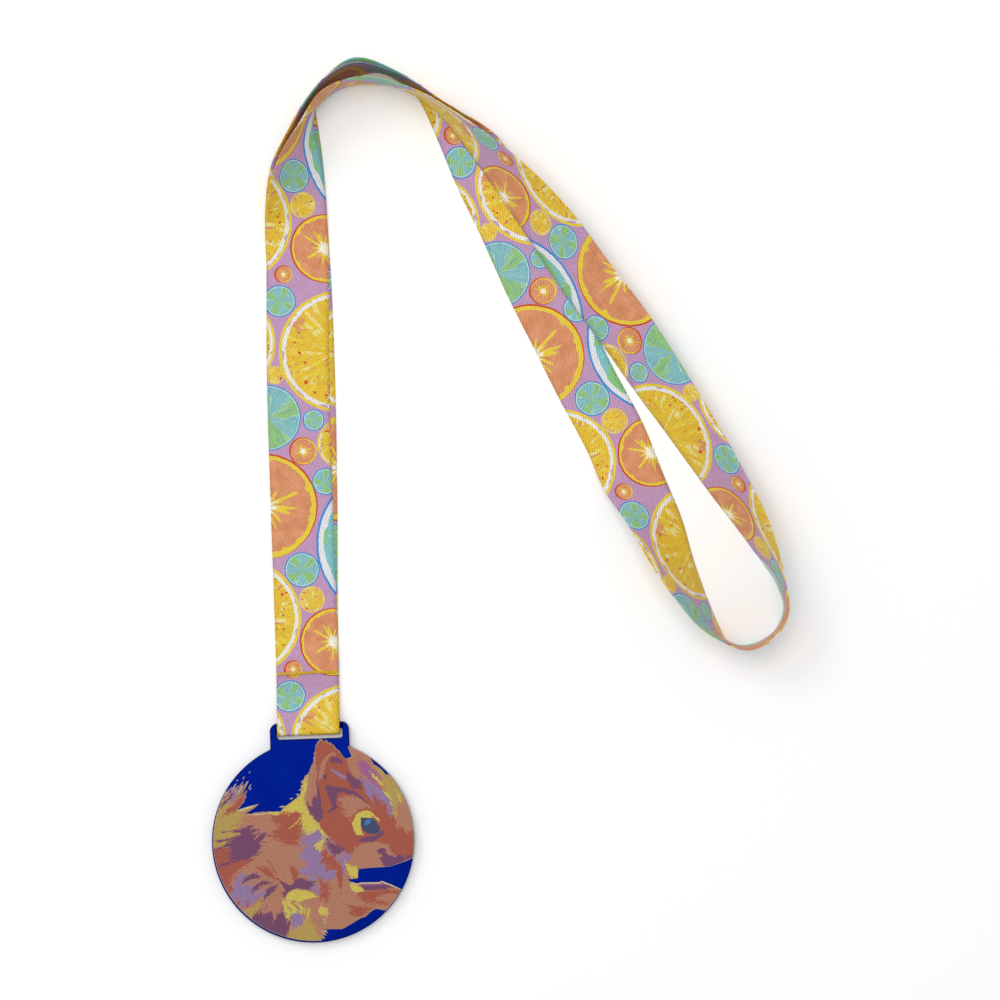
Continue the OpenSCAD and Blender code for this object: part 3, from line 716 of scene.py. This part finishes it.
# Each patch: colour, direction and length of its fur, then its corners. The C patches are pale lines painted
# on upper edges as highlights.
PATCHES = """
O 186 1.4 -33 15 -28 14.4 -24.4 10.6 -21.4 9.2 -22 8.4 -24.6 7.4 -23 6.6 -26 5.8 -23.4 5.2 -24 4.4 -29 \
  3.8 -24.4 3.4 -22.6 3.5 -26 2.4 -33 0.6
O 190 0.7 -33 0.2 -28 0.9 -25.8 1.2 -28 0 -32.8 -1.6
R 188 1.6 -33 -1.6 -27 -1.4 -25.6 -2.4 -23.6 -2.8 -25.6 -4.6 -20.6 -5.2 -18.6 -5.4 -22 -7 -24 -8.4 -25.6 \
  -9.8 -27 -12.4 -28.4 -15 -33 -9
P 190 1.8 -29.2 3.8 -26 4 -24.2 4.4 -22 4.9 -20.2 5.5 -18.4 5.2 -18.2 3.8 -19.4 2.8 -18.6 2.2 -16.6 3.1 \
  -14.6 2.8 -16 1 -17 -0.6 -16.8 -2.4 -19.6 -4.6 -22 -5.4 -25 -6 -28 -6.7 -30.4 -7.6 -29.4 -6.6 -26 -5.4 \
  -28.6 -4.7 -25.5 -4 -26.6 -2.6 -26.6 -1.2 -32.6 -1.9 -29 -0.9 -26 1.2 -32.6 0.2 -28 1.5 -24.2 2.3 -22.8 \
  3.3
T 30 0.8 -20.6 3.4 -19.4 5 -18.4 5.8 -19 4.4
T 35 0.8 -19.4 0.8 -18.2 2 -16.6 2.9 -17.8 1.6
R 220 1.8 -27.6 11 -24 13 -22.8 15.4 -21.1 17 -20.9 15.6 -22 13.4 -23.4 11.6 -24.6 10.4 -26.8 9.6
R 219 0.8 -30.4 7.7 -27.4 9.8 -25 12.2 -23.8 13.2 -26.4 10.4
R 216 0.6 -27.6 8.8 -25.6 10 -24.2 11.4 -26 9.6
P 232 1.6 -30.2 12 -27 14.6 -25.4 17.4 -24 18 -25 15.6 -26.8 13.4 -28.6 12.2
M 232 1.1 -29 14.4 -26.4 17.4 -25 18.6 -25.8 16.6 -27.4 14.8
L 235 1.4 -26.6 13.4 -24.6 16.4 -23.2 19 -22.4 18.4 -23.4 16 -25.2 13.6
O 226 0.6 -31 11.6 -27.6 14.6 -25.6 16.6 -27 14.6
O 222 0.8 -28 10.8 -25.4 13 -24 14.6 -25.8 12.4
C 208 0.25 -24.3 10.2 -21 11.5 -17.4 12.4 -19.6 11.3 -22.4 10.3
O 208 0.3 -23.6 10 -21 10.8 -18.4 11.8 -20 10.7 -22 9.9
C 184 0.2 -21.2 8.9 -16 9.3 -15 9.4 -15 9 -18 8.8
C 184 0.2 -16.6 9.9 -12 9.9 -9.8 9.9 -9.8 9.5 -13 9.4
Y 184 0.7 -15.6 9.4 -10 9.5 -7.6 8.9 -8 8.3 -11 8.5
R 186 1.7 -12.6 8 -9.6 9.3 -7.6 9.9 -4 10.2 -3.3 8.8 -3.2 6 -3.4 3.6 -4 1.6 -4.8 0 -5 -1.4 -8 -1.2 -9.6 \
  -0.6 -10 0.4 -13.6 1.6 -12.2 3.4 -10.6 5 -12.4 6.4
Y 215 1.5 -10.4 10.8 -7 12.4 -4.8 13.8 -3.6 15 -3 17 -2.2 20.4 -1.2 20.8 -0.9 19 -1.5 17 -1.9 15 -1.9 13 \
  -1.6 11.4 -0.8 9 0.4 7.4 1.9 6 2.8 4.4 3.6 2.8 5.2 1 3.6 0 2.6 -2.2 2.4 -4.4 1 -3.6 0.2 -1.4 -1 0.6 -1.8 \
  2 -3 3.2 -3.4 6.4 -3.2 9 -5 9.6 -7 9.2
Y 222 0.6 -7.8 4.2 -6.4 5.2 -4.8 6.6 -3.4 8.9 -3.6 8 -5.2 5.8 -6.6 4.6
L 235 1.5 -3.2 2.6 -1.6 1.9 0 2.8 1.8 3.6 3 2 4 0.2 2 0.3 0.6 -1.2 1.6 -3 3 -4.4 2.4 -6.4 4.8 -8.4 7.2 \
  -9.8 6.4 -12.2 3 -13.2 1.2 -11.4 0.2 -12.8 0.8 -15.4 3 -17 1.2 -17.4 -1.4 -15 -1.6 -12.4 -2.4 -10.8 -5.6 \
  -9.6 -4 -8.8 -2.2 -7.8 -2.4 -5.8 -4.8 -5.2 -3.8 -2.6 -4.4 -1 -3.6 0.6
T 235 0.9 -5.4 -3.4 -3.4 -1 -2.4 -1.4 -3.6 -3.4
R 78 0.5 -0.8 9 1.6 5.8 3.8 1.8 6 0 8.4 -3.4 11.4 -5 12.5 -5.4 13.5 -3.4 16 -1.6 20 -1.2 24 -2.2 25 -5 \
  27 -6 30 -7 34 -7 34 1.4 29.6 2.6 27 4.8 24.8 9.2 23 12.6 18.4 17.4 14 21.6 12.4 25.4 9 28.4 6.6 31.6 \
  3.8 32.4 1.5 30.6 1.5 24.4 1.4 21.4 1.2 17 -1.2 12.6
T 262 1.3 -0.9 21.4 -0.2 22.8 0.8 24.6 1.4 26 1.7 23 1.6 19.5 1.9 16.6 1.6 14.6 0.8 13.6 0 11.2 -0.9 \
  11.2 -1.8 13 -1.6 15.5 -1.3 17.4 -0.9 19
T 72 0.6 2.1 19.6 2.8 23 3.6 25.4 5 26.9 6.4 27.7 7.6 28.2 8.3 27.2 6 26.6 5 25.4 4.4 23 3.6 19.6
P 262 0.7 -2 13 -0.6 11 0 11 0.1 13.8 1 14.6 1.9 13.6 2.5 12.2 3 10.5 3.4 8.6 3.1 7.2 2 5.8 1.1 6.6 -0.2 \
  7.9 -1.1 9.2 -1.6 11
P 264 0.3 1.4 19.5 1.9 18.4 2.4 15.6 2.9 12.4 2.2 12 1.7 15
P 15 0.3 4 17.8 6 17.3 8.6 16.7 10.6 16.5 14 15.1 15.8 13.6 17 12 15 13.1 12 14.3 9.8 15.2 8.2 14.8 7.6 \
  13 7.6 11.4 8 10.2 4.6 8.4 5.8 10.1 6.6 10.7 5.6 12.6 4.8 15
P 15 0.2 6 26 7.6 26.6 9 26.2 10 25.3 10 24.3 8 24.7 6.2 25
P 90 0.2 3.5 20.9 5 20.9 4.6 19.2 3.9 19.2
P 300 1.0 11.2 21.8 13.2 20.4 14.6 19.2 15.8 18.6 15.6 16.6 13 16 12.2 18 11.2 19.8
L 150 0.1 6 22.5 6.7 22.8 11.3 20.1 10.6 18.9
P 310 0.8 13.8 13.6 15.6 13.4 18 10.8 16 11.6
T 115 1.2 11.4 25.4 13.2 26.2 15 25.8 15 23.6 16.6 20.8 15.4 19 13.8 19.8 12.4 22
M 312 1.7 14.8 23.2 15.4 25.8 17.4 24.8 19.6 22.2 22 19.8 24.6 16.6 21.6 18.4 19.8 20 20.4 18 22.4 16 \
  20.2 16.8 18.4 18.8 17 20.6 15.6 21.6
O 305 1.5 20.2 23.4 22 22.2 23.6 20.2 25.6 19.9 27.4 17.8 28.6 14.6 29.4 12 29 9.6 28.2 10.6 27.6 13 \
  26.8 8.8 26.4 6 25.6 8.2 25.6 11.4 24.8 13.8 22.4 15.6 23.4 16.8 21.4 19.4 22.8 19.4 21 21.8
Y 308 1.1 18.9 21.3 20.8 20 22.2 18.2 23.4 16.6 21.6 17.8 19.8 19.6
Y 305 1.0 20.4 14.6 22.4 15.4 24.6 14.2 25.4 12.4 25.2 9.8 24.4 12.2 23.4 13.4
Y 300 0.8 27.4 15 28.2 13.4 28.6 10.6 27.6 12.4
L 300 1.7 15.4 19.8 17.6 18.8 19.6 17.8 21.8 15.6 23.8 14 25 12 25.2 9.6 24.6 7.4 24 8 23.8 10.6 22.2 \
  12.2 20.6 13.4 20 14.8 18.6 13.6 17.6 14 17 16 16.2 17.8
L 290 0.5 18 14.8 18.8 13 19.8 10.8 18.7 12.4
T 295 1.6 28.4 11 29.4 11.8 34 8 34 2 31.8 1.9 29.4 2.2 27.8 4 26.2 4 27 6 27.8 7.6
T 155 1.4 8.4 12.8 10.8 13.6 14.2 13.8 16 12.4 19.2 9.8 16.4 9.8 13.6 8 12.6 5.6 11.2 7 9.8 8.4 11 9.6 \
  9.2 10.4 9.8 11.6
Y 300 0.25 12.4 5 13.4 7 14.4 8.4 15.8 9 17.8 9.1 19 8.5 20 7.2 21.2 6.4 21.4 5.2 20.4 6 19.4 6.6 15.4 \
  6.9 15.2 4 15.6 2.2 16.2 1.3 13.8 1.3 13 3
R 300 0.2 18.6 7.6 19.6 7 21 5.4 21.4 4.8 20 5.6
P 20 0.4 14.6 0 17 0.7 19.6 0.8 20.6 1.6 22.6 2.8 22.4 1.2 21 0.1 19.8 -0.8 17 -1 14.8 -1.2
S 0 0 15.4 6.9 17 6.7 19.2 6.5 20.4 5.2 21.4 3.4 21.2 2 19.6 1.4 17.4 1.6 16 2.6 15.3 4.4
B 0 0 16.4 4.7 16.8 5.7 17.8 6.3 18.6 6 18.4 5.1 17.6 4.5 16.9 4.3
T 100 0.8 10.4 -6.6 12.4 -4.8 13 -3.2 15.8 -1.7 17.4 -2.2 20 -2 22 -2 23.4 -4 22.6 -3.2 21 -4.6 21.8 \
  -5.6 21 -6.4 21.6 -9.4 13 -9.8 11.8 -8.4
P 20 0.5 20.2 -3.8 21.6 -3.2 22.8 -3.4 23 -5 24 -5.8 25 -5.5 25.6 -6.6 26.8 -5.6 28.4 -5.8 28.8 -6.8 \
  30.6 -5.6 31.6 -6.2 29 -7.4 27.4 -8.2 25 -9 22.4 -9.2 21.4 -7.6 20.8 -6.4 22 -5.8 21.6 -5 20.4 -5
L 245 1.3 3.2 -0.8 6 -3.4 8.4 -5.8 9.8 -3.2 12 -5.4 10.4 -7.4 9.8 -10 9.4 -12.4 8.8 -7.4 6.6 -5.6
P 245 1.2 4.4 1.6 5.4 -0.6 8.4 -2.2 10.2 -2.6 8 -4.6 6.6 -4.8 4.6 -2.4
R 235 1.6 3.2 -2.6 6.4 -5.4 7.8 -7.2 7.4 -9.6 4.4 -9.4 3.6 -8 2.2 -6.6 3 -5
R 262 1.2 8.2 -6.4 8.9 -10 8.9 -13.4 8.3 -17.2 7.3 -13.4 7.1 -10
R 230 1.5 1.4 -11.2 3 -13 4.6 -13.6 4.6 -17 4.2 -19.6 2.2 -18 0.9 -18 2 -16.6 1.8 -14.6
Y 285 0.8 9.6 -7 11 -8.4 13.3 -8.6 13.8 -10 13.8 -12.2 11.6 -12.3 10.7 -10.4
R 255 0.8 -8.2 -7.9 -6.4 -8 -5.4 -9.6 -4.6 -10.4 -5.8 -11.4 -5.6 -13 -6.2 -14.2 -7 -12 -7.6 -10
R 150 1.3 -18.4 -8.2 -14.6 -8.2 -14 -9.6 -12.6 -11.4 -11.2 -13 -14 -11.6 -16.6 -9.8
R 300 0.2 -15.6 -5.6 -14.6 -6 -13.4 -8 -11.8 -11.2 -13.2 -9.4 -14.6 -6.8
L 225 1.9 -22.4 -9.6 -24.6 -10.4 -26 -12.2 -26.6 -14.6 -27 -16.6 -25.4 -18.6 -23.4 -20.2 -21.4 -20.2 -18 \
  -18 -16.2 -16.8 -15.4 -15.4 -18 -14.6 -20 -13.8 -21.4 -12.6 -21 -11
T 215 0.9 -24.6 -13.4 -22.6 -12.2 -20.4 -12 -22 -13.4
T 215 1.1 -19.8 -16.6 -17.4 -15 -15 -14.4 -17 -15.8
R 255 1.2 -27 -12.6 -26.4 -14.8 -27 -16 -28 -14.4
R 262 1.1 -22 -17.8 -21.6 -19.2 -22.4 -20.4 -22.4 -19
R 255 0.9 -25 -17.8 -24.4 -19.4 -25.2 -20.6
P 208 1.1 -23.5 -13.2 -22.6 -11.4 -20.6 -10.2 -18.6 -10 -17.4 -11.3 -20 -11.7 -21.6 -12.1
P 212 1.3 -20.4 -16.2 -19.8 -14.4 -17.6 -12.6 -15.6 -12.4 -13.6 -13 -16.6 -13.9 -18.6 -14.7
P 225 1.2 -17.6 -19.4 -16.4 -17 -15.4 -15 -13.6 -13.8 -12 -13.9 -13 -15.5 -14.6 -16.8
P 310 0.7 -12 -11.8 -9.2 -13.6 -7 -14.4 -9.4 -15.9
P 195 0.8 -9.4 -15.4 -8 -14.2 -6.8 -13.6 -5.6 -11.8 -3.6 -12 -1.8 -12.9 0.2 -13.3 -1 -14.6 -1.4 -15.8 \
  -4.2 -15.5 -6.6 -15.2 -8.4 -16.2 -10 -17.8 -10.3 -16.4
Y 235 0.5 -9.8 -18.7 -8.6 -16.5 -6.8 -15.3 -4 -15.7 -1.6 -16.4 0 -17.5 1 -18 -2 -18.5 -5.6 -19.4 -7.4 \
  -18.7
Y 262 1.6 -10.6 -19.2 -10.4 -22 -10 -23.6 -8.6 -25 -8.2 -23 -6.8 -23.4 -4.8 -22.8 -3.4 -22.6 -2.4 -25.2 \
  -2.2 -22.8 -3.2 -20.8 -5 -19.6 -6.6 -19.4 -9 -18.4
T 300 0.6 -8.6 -19 -6.4 -20.4 -4.2 -22.4 -6.6 -21.2
T 290 0.6 -9.6 -20 -8.2 -21.6 -7.4 -23.2 -8.6 -22
T 305 0.5 -5.6 -19.8 -3.8 -20.6 -2.6 -22.2 -4 -21.4
L 265 1.3 -8 -23.4 -6.4 -22.8 -4 -23.2 -3.8 -26 -5.6 -27.4 -7.6 -28 -8.2 -25.6
O 262 1.5 -8.6 -28 -6.2 -27.4 -4.2 -26 -3.4 -24.4 -2.4 -23.8 -1.6 -25.4 -0.2 -28.6 1.8 -33 -10 -33 -9 -30
P 262 1.9 -20 -22.2 -17.6 -21.2 -16.4 -22.2 -14.4 -21.6 -13 -23.4 -11.6 -22.8 -10.6 -21.8 -9.8 -24.6 \
  -8.2 -25.2 -8.6 -27.6 -9.8 -30.6 -14 -33 -22 -26
T 262 1.0 -17.4 -19.6 -16.2 -19.6 -16.6 -22.4 -17.2 -22.2
T 262 1.2 -14.6 -19.4 -13.2 -19.2 -12.8 -24.6 -13.6 -24.8
O 235 1.4 -22.8 -21.4 -19.8 -20.2 -17.4 -18.6 -17.8 -20.8 -19.8 -22.6 -21 -24.4
Y 262 0.8 0.6 -22 1.4 -21.2 2.6 -21.2 3.6 -22.2 4.2 -23.8 2.8 -23.8 1.2 -23.6
P 5 0.3 14.2 -14.6 21 -14.8 22 -14.1 24.4 -15.2 26 -16 23.4 -16 22.4 -16.6 15.8 -16.6
M 0 0.2 14.4 -14.5 17 -14.5 20.8 -14.6 22 -14.1 24.4 -15.1 22 -15 15.4 -15
R 200 1.5 13.6 -17.2 15.8 -16.7 22.2 -16.8 25 -16.3 27.2 -17 26.6 -18 24.4 -17.6 21 -18.2 19.8 -19 22 \
  -20.2 24.6 -21 21 -21.4 18.4 -20.8 15.4 -20 14 -18.4
T 200 1.0 21 -18.8 23.4 -18.2 26 -18.8 24 -20.2 22 -19.6
R 160 1.6 10.8 -21.2 13.2 -21.6 15.8 -21.8 18.6 -22.2 17 -23.4 15.6 -24.6 13 -25 11.4 -24.4 12 -23
Y 190 0.4 11.1 -14 12.6 -14.4 14.6 -15.4 15.9 -16.8 13 -17.1 11.8 -16.4
C 0 0 11.2 -13.7 12.4 -14 13.4 -14.4 14.6 -14.1 20.6 -14.2 21.4 -13.8 24.4 -15.1 28.4 -17.2 24.4 -15.5 \
  21.4 -14.1 20.6 -14.5 14.6 -14.4 13.4 -14.7
"""
# Single strands past the outline: colour, middle, direction, length and width. The C strands are pale tips
# painted as highlights.
FLECKS = """
C -27.2 16.2 45 3.4 0.42 M -26.6 16.9 48 3 0.44 L -25.4 16.9 52 3.4 0.46 L -24.6 17 52 3.6 0.4 M -25 16
  50 2.8 0.4
T -23.9 16.6 54 3.8 0.42 L -23.3 17.2 56 3.2 0.34 R -22.5 16.1 56 4 0.5 C -22.9 17.2 57 3.4 0.26 R -21.6
  15.6 58 3 0.44
T -28.4 15.2 46 2.6 0.36 L -22.1 17.9 57 2.4 0.26
L -21.8 20.8 60 1.1 0.36 L -19.8 22.6 62 0.8 0.3 L -23.8 20.1 50 0.7 0.26 L -19.7 17.2 55 1.1 0.26 L
  -20.9 19.3 60 1.2 0.26
C -24.6 18.6 48 1.6 0.2 C -20.9 18.9 56 2.6 0.26 C -19.9 18 58 1.9 0.2 R -21.6 17.6 58 2.6 0.4 T -23
  18.2 56 2.2 0.3
L -22.4 19 60 2 0.28 M -25.4 17.6 52 2.2 0.3 C -9.8 11.2 8 1.9 0.3 C -4.6 14.9 350 1.2 0.3 C -6.7 13.7
  10 1.2 0.26
C 2.6 -26.6 330 1.7 0.28 T 2.8 -27.4 330 1.8 0.3 C 2.7 -25.6 318 1.6 0.24 C 3.2 -24.7 318 1.2 0.24
C 2.6 -29.3 328 2.6 0.26 C 2.3 -30 322 2.2 0.24 T 2 -30.8 315 1.6 0.26 T 2.8 -28.9 335 1.6 0.2"""
# Dark gaps between the belly's last strands: middle, direction, length and width.
GAPS = """
2.3 -25.2 322 1.8 0.3 2.6 -26 325 1.8 0.3 2 -27 330 2 0.34 2.2 -27.9 325 1.8 0.3 3.3 -24.3 315 1.2 0.26
  1.4 -29.2 325 1.4 0.3
-24.4 16.6 52 2.8 0.34 -23.2 15.8 52 2.6 0.34 -22.6 17.2 56 1.8 0.3 -25.8 17.8 48 1.6 0.24 -24 18.2 55
  1.4 0.3
6.4 30.7 292 2 0.3 7.7 29.4 300 1.9 0.3 4.6 31.2 280 1 0.26 9 28.2 304 1.4 0.24"""


def corners(words):
    return [(float(words[k]), float(words[k + 1])) for k in range(0, len(words), 2)]


def furred(points, direction, length, rng, closed=True, pitch=0.6):
    """The run of corners with tufts along its edges that lean in one direction."""
    dx, dy = math.cos(math.radians(direction)), math.sin(math.radians(direction))
    out = []
    ends = points[1:] + points[:1] if closed else points[1:]
    for (ax, ay), (bx, by) in zip(points, ends):
        run = math.hypot(bx - ax, by - ay)
        across = abs((bx - ax) * dy - (by - ay) * dx) / max(run, 1e-6)
        count = max(1, round(run / pitch)) if length else 1
        for k in range(count):
            t = k / count
            out.append((ax + (bx - ax) * t, ay + (by - ay) * t))
            if length and across > 0.2:
                reach = length * rng.uniform(0.1, 1.0) ** 1.6 * 1.3 * min(1, across * 1.4)
                t = (k + rng.uniform(0.35, 0.65)) / count
                out.append((ax + (bx - ax) * t + dx * reach, ay + (by - ay) * t + dy * reach))
    return out if closed else out + [points[-1]]


def strand(cx, cy, direction, length, width):
    """A thin pointed lozenge."""
    dx, dy = math.cos(math.radians(direction)) / 2, math.sin(math.radians(direction)) / 2
    return [(cx - dx * length, cy - dy * length), (cx + dy * width, cy - dx * width),
            (cx + dx * length, cy + dy * length), (cx - dy * width, cy + dx * width)]


def strands(points, direction, length, rng, spacing, closed=True):
    """Strands scattered along a run of corners."""
    out = []
    if length < 0.45:
        return out
    for (ax, ay), (bx, by) in zip(points, points[1:] + points[:1] if closed else points[1:]):
        for _ in range(int(math.hypot(bx - ax, by - ay) / spacing + rng.random())):
            t, u = rng.random(), length * rng.uniform(-0.7, 0.7)
            turn = direction + rng.uniform(-12, 12)
            out.append(strand(ax + (bx - ax) * t + u * math.cos(math.radians(turn)),
                              ay + (by - ay) * t + u * math.sin(math.radians(turn)),
                              turn, length * rng.uniform(0.8, 1.7), rng.uniform(0.2, 0.42)))
    return out


def inside(loop, places):
    """Which of the places the closed loop goes round."""
    x, y = places[:, 0], places[:, 1]
    low, high = np.min(loop, axis=0), np.max(loop, axis=0)
    near = np.nonzero((x >= low[0]) & (x <= high[0]) & (y >= low[1]) & (y <= high[1]))[0]
    x, y = x[near], y[near]
    turns = np.zeros(len(near), int)
    for (ax, ay), (bx, by) in zip(loop, loop[1:] + loop[:1]):
        left = (bx - ax) * (y - ay) - (x - ax) * (by - ay)
        turns += ((ay <= y) & (by > y) & (left > 0)).astype(int)
        turns -= ((ay > y) & (by <= y) & (left < 0)).astype(int)
    out = np.zeros(len(places), bool)
    out[near] = turns != 0
    return out


def motif_loops(rng):
    """Every loop of the motif as (what it does, colour, points), in painting order."""
    limit = DISC_R - BORDER
    crown = [(7.6, 31.6), (5.4, 32.4), (1.6, 32.4), (0.8, 32.0)]
    rim = [p for p in arc(0, 0, limit, 0, 360, 180)[:-1] if not (0.6 < p[0] < 7.8 and p[1] > 0)]
    split = next(k for k, p in enumerate(rim) if p[0] < 1 and p[1] > 0)
    loops = [("rim", None, rim[:split] + crown + rim[split:])]
    body, extra = [], []
    for line in OUTLINE.strip().splitlines():
        words = line.split()
        points, direction, length = corners(words[2:]), float(words[0]), float(words[1])
        body += furred(points, direction, length, rng, closed=False)
        extra += [("gap", None, p) for p in strands(points, direction, length * 0.8, rng, 1.3, closed=False)]
    loops += [("body", None, body)] + extra
    words = GAPS.split()
    for k in range(0, len(words), 5):
        loops.append(("gap", None, strand(*map(float, words[k:k + 5]))))
    for line in PATCHES.strip().splitlines():
        words = line.split()
        points, direction, length = corners(words[3:]), float(words[1]), float(words[2])
        loops.append(("patch", words[0], furred(points, direction, length, rng)))
        loops += [("more", words[0], p) for p in strands(points, direction, length, rng, 0.9)]
        loops += [("less", words[0], p) for p in strands(points, direction, length * 0.8, rng, 1.3)]
    words = FLECKS.split()
    for k in range(0, len(words), 6):
        loops.append(("fleck", words[k], strand(*map(float, words[k + 1:k + 6]))))
    return loops


def motif_mesh():
    loops = motif_loops(random.Random(SEED))
    points, edges = [], []
    for _, _, loop in loops:
        n = len(points)
        edges += [(n + k, n + (k + 1) % len(loop)) for k in range(len(loop))]
        points += [Vector(p) for p in loop]
    pts, _, tris, *_ = delaunay_2d_cdt(points, edges, [], 0, 1e-5)
    flat = np.array([[p.x, p.y] for p in pts])
    middles = flat[np.array(tris)].mean(axis=1)
    keys = list(COLOURS)
    colour = np.full(len(tris), keys.index("T"))
    print_area = np.zeros(len(tris), bool)
    limits = np.zeros(len(tris), bool)
    patch, patch_key = None, None

    def lay():
        if patch is not None:
            colour[patch] = keys.index(patch_key)

    for task, key, loop in loops:
        hit = inside(loop, middles)
        if task == "rim":
            limits = hit
        elif task == "body":
            print_area |= hit
        elif task == "gap":
            print_area &= ~hit
        elif task == "more":
            patch |= hit
        elif task == "less":
            patch &= ~hit
        else:
            lay()
            patch, patch_key = hit, key
            if task == "fleck":
                print_area |= hit
    lay()
    bm = bmesh.new()
    index = {}

    def vert(k):
        if k not in index:
            x, y = pts[k].x + PARALLAX[0], pts[k].y + PARALLAX[1]
            index[k] = bm.verts.new((x * MM, y * MM, TOP * MM))
        return index[k]

    for t, slot in zip(np.array(tris)[print_area & limits], colour[print_area & limits]):
        f = bm.faces.new([vert(int(k)) for k in t])
        f.material_index = int(slot)
    bm.normal_update()
    # a bevel painted pale as a highlight, whose slope also catches the lamps' light, and a dark wall down to
    # the disc
    rim = [e for e in bm.edges if len(e.link_faces) == 1]
    outwards = {}
    for e in rim:
        loop = e.link_loops[0]
        a, b = loop.vert, loop.link_loop_next.vert
        for v in (a, b):
            out = Vector((b.co.y - a.co.y, a.co.x - b.co.x, 0)).normalized()
            outwards[v] = outwards.get(v, Vector((0, 0, 0))) + out
    rows = []
    for reach, z in SIDES:
        row = {}
        for v, out in outwards.items():
            step = out.normalized() * reach * MM if out.length > 1e-6 else Vector((0, 0, 0))
            row[v] = bm.verts.new((v.co.x + step.x, v.co.y + step.y, z * MM))
        rows.append(row)
    for e in rim:
        loop = e.link_loops[0]
        a, b = loop.vert, loop.link_loop_next.vert
        highlight_bevel = bm.faces.new((b, a, rows[0][a], rows[0][b]))
        # the pale edge colour on the bevel is a painted highlight
        highlight_bevel.material_index = keys.index("edge")
        wall = bm.faces.new((rows[0][b], rows[0][a], rows[1][a], rows[1][b]))
        wall.material_index = keys.index("wall")
    me = bpy.data.meshes.new("squirrel_print")
    bm.to_mesh(me)
    bm.free()
    return link(bpy.data.objects.new("squirrel_print", me))


def print_material(key, rgb):
    """Matte ink with a fine grain, like a printed casting."""
    mat, g, shader = material("print_" + key, Roughness=0.62, Specular_IOR_Level=0.2)
    _, grain = speckle(g, 2.2)
    dark = tuple(v * 0.88 for v in rgb)
    light = tuple(v * 1.01 for v in rgb)
    g.put(shader.inputs["Base Color"], g.mix(g.ramp(grain, 0.35, 0.65), srgb(*dark), srgb(*light)))
    g.put(shader.inputs["Roughness"], g.math("MULTIPLY_ADD", grain, 0.2, 0.52))
    g.put(shader.inputs["Normal"], g.bump(grain, 0.3, 0.00004))
    return mat


motif = motif_mesh()
for key, rgb in COLOURS.items():
    motif.data.materials.append(print_material(key, rgb))
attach(motif, "medal")
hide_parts("squirrel_motif")
